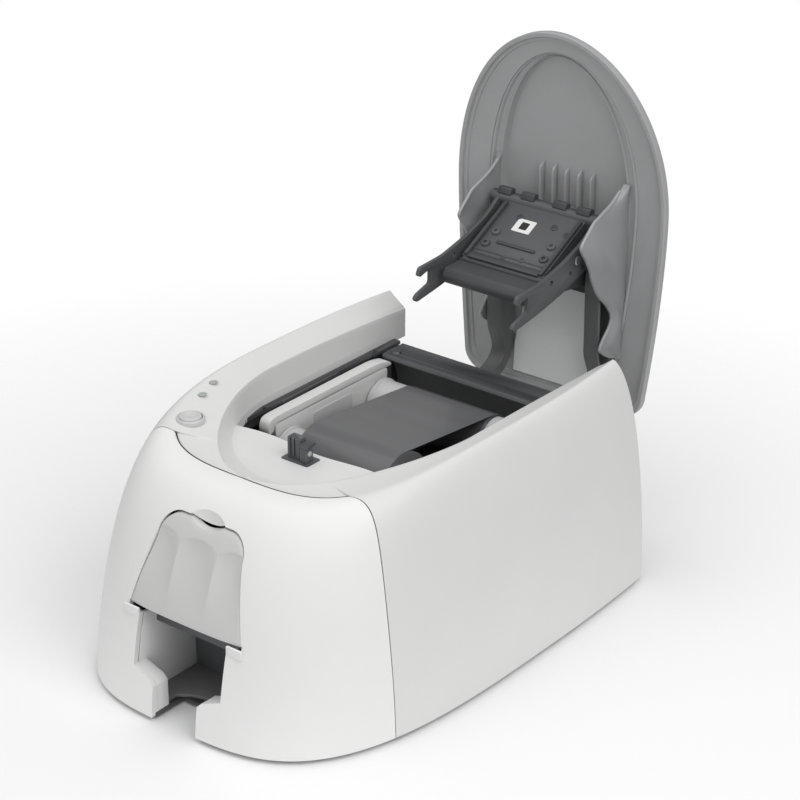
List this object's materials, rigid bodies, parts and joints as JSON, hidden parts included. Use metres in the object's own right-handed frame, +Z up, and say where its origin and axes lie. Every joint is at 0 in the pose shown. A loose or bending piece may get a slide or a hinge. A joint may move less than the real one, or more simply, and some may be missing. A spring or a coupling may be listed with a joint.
{
  "type": "id card printer",
  "caption": "Desktop ID card printer with a rear-hinged smoke lid carrying the print head, a lift-out ribbon cassette, a front card flap and a card outlet.",
  "frame": {"origin": "centre of the base at the height of the surface it stands on, midway between the front and rear edges of the base", "axes": "+X towards the right side seen from the front, +Y towards the rear where the lid hinges, +Z up"},
  "size_m": [0.205, 0.3414, 0.2875],
  "materials": {
    "shell": "satin",
    "dark_plastic": "matte",
    "chassis": "satin",
    "chassis_light": "satin",
    "rubber": "matte",
    "steel": "brushed",
    "black_plastic": "matte",
    "board": "satin",
    "bush": "satin",
    "brass": "satin",
    "button": "glossy",
    "light": "glossy",
    "smoke": "translucent smoke",
    "head": "satin",
    "white": "matte",
    "cassette": "satin",
    "film": "glossy"
  },
  "bodies": {
    "printer_body": {"base_plate": "dark_plastic", "rubber_feet": "rubber", "front_panel": "shell", "main_housing": "shell", "top_deck": "shell", "rear_panel": "shell", "power_inlet": "black_plastic", "usb_port": "steel", "chassis_left": "chassis", "chassis_right": "chassis", "rear_crossbar": "chassis_light", "lower_crossbar": "chassis", "card_track": "dark_plastic", "input_hopper": "dark_plastic", "output_tray": "dark_plastic", "ribbon_sensor": "dark_plastic", "spool_saddles": "chassis_light", "shaft_bushes": "bush", "hinge_bracket": "chassis", "hinge_pins": "steel", "feed_motor": "steel", "motor_bracket": "chassis", "takeup_motor": "steel", "circuit_board": "board", "button_switch": "dark_plastic", "status_lights": "light", "housing_screws": "steel", "motor_belt": "rubber", "feed_belt": "rubber"},
    "motor_rotor": {"motor_pulley": "steel"},
    "platen": {"platen_roller": "rubber", "platen_shaft": "steel"},
    "feed": {"feed_roller": "rubber", "feed_shaft": "steel"},
    "pick": {"pick_roller": "rubber", "pick_shaft": "steel"},
    "pinch": {"pinch_roller": "rubber"},
    "hub": {"drive_hub": "black_plastic", "drive_gear": "bush"},
    "pinion": {"takeup_pinion": "brass"},
    "flap": {"front_flap": "shell"},
    "button": {"power_button": "button"},
    "lid": {"lid_shell": "smoke", "lid_arms": "chassis", "lid_gussets": "smoke", "head_carrier": "chassis_light", "head_forks": "chassis", "print_head": "head", "head_spring_bar": "head", "carrier_screws": "steel", "carrier_tag": "white"},
    "cassette": {"cassette_side_left": "cassette", "cassette_side_right": "cassette", "ribbon_film": "film"},
    "supply_spool": {"supply_core": "cassette", "supply_collars": "cassette", "supply_wheel": "cassette", "supply_film": "film"},
    "takeup_spool": {"takeup_core": "cassette", "takeup_collars": "cassette", "takeup_film": "film"}
  },
  "joints": [
    {"name": "lid_hinge", "type": "hinge", "parent": "printer_body", "child": "lid", "pos_m": [0, 0.13525, 0.0735], "axis": [-1, 0, 0], "range_deg": [-90, 0], "deforming": ["ribbon_film"]},
    {"name": "cassette_lift", "type": "slide", "parent": "printer_body", "child": "cassette", "axis": [0, -0.2425, 0.9701], "range_m": [0, 0.15255]},
    {"name": "supply_spin", "type": "hinge", "parent": "cassette", "child": "supply_spool", "pos_m": [0, 0.01075, 0.086], "axis": [1, 0, 0], "continuous": true},
    {"name": "takeup_spin", "type": "hinge", "parent": "cassette", "child": "takeup_spool", "pos_m": [0, 0.08975, 0.086], "axis": [1, 0, 0], "continuous": true},
    {"name": "flap_hinge", "type": "hinge", "parent": "printer_body", "child": "flap", "pos_m": [0, -0.12505, 0.06], "axis": [-1, 0, 0], "range_deg": [-75, 0]},
    {"name": "power_press", "type": "slide", "parent": "printer_body", "child": "button", "axis": [0, 0, 1], "range_m": [-0.0012, 0], "stiffness_N_per_m": 400, "springref_m": 0.001},
    {"name": "platen_spin", "type": "hinge", "parent": "printer_body", "child": "platen", "pos_m": [0, 0.05025, 0.048], "axis": [1, 0, 0], "continuous": true},
    {"name": "feed_spin", "type": "hinge", "parent": "printer_body", "child": "feed", "pos_m": [0, -0.02175, 0.048], "axis": [1, 0, 0], "continuous": true},
    {"name": "pick_spin", "type": "hinge", "parent": "printer_body", "child": "pick", "pos_m": [0, -0.06975, 0.048], "axis": [1, 0, 0], "continuous": true},
    {"name": "pinch_spin", "type": "hinge", "parent": "printer_body", "child": "pinch", "pos_m": [0, -0.02175, 0.0613], "axis": [1, 0, 0], "continuous": true},
    {"name": "motor_spin", "type": "hinge", "parent": "printer_body", "child": "motor_rotor", "pos_m": [0.075, 0.06325, 0.026], "axis": [1, 0, 0], "continuous": true},
    {"name": "hub_spin", "type": "hinge", "parent": "printer_body", "child": "hub", "pos_m": [-0.07, 0.08975, 0.086], "axis": [1, 0, 0], "continuous": true},
    {"name": "pinion_spin", "type": "hinge", "parent": "printer_body", "child": "pinion", "pos_m": [-0.07, 0.10275, 0.06348], "axis": [1, 0, 0], "continuous": true}
  ],
  "couplings": [
    {"joint": "takeup_spin", "follows": "supply_spin", "ratio": 1.5493},
    {"joint": "feed_spin", "follows": "platen_spin", "ratio": 1},
    {"joint": "pick_spin", "follows": "platen_spin", "ratio": 1},
    {"joint": "motor_spin", "follows": "platen_spin", "ratio": 1.6},
    {"joint": "pinch_spin", "follows": "platen_spin", "ratio": -2.5714},
    {"joint": "pinion_spin", "follows": "hub_spin", "ratio": -2.25}
  ]
}
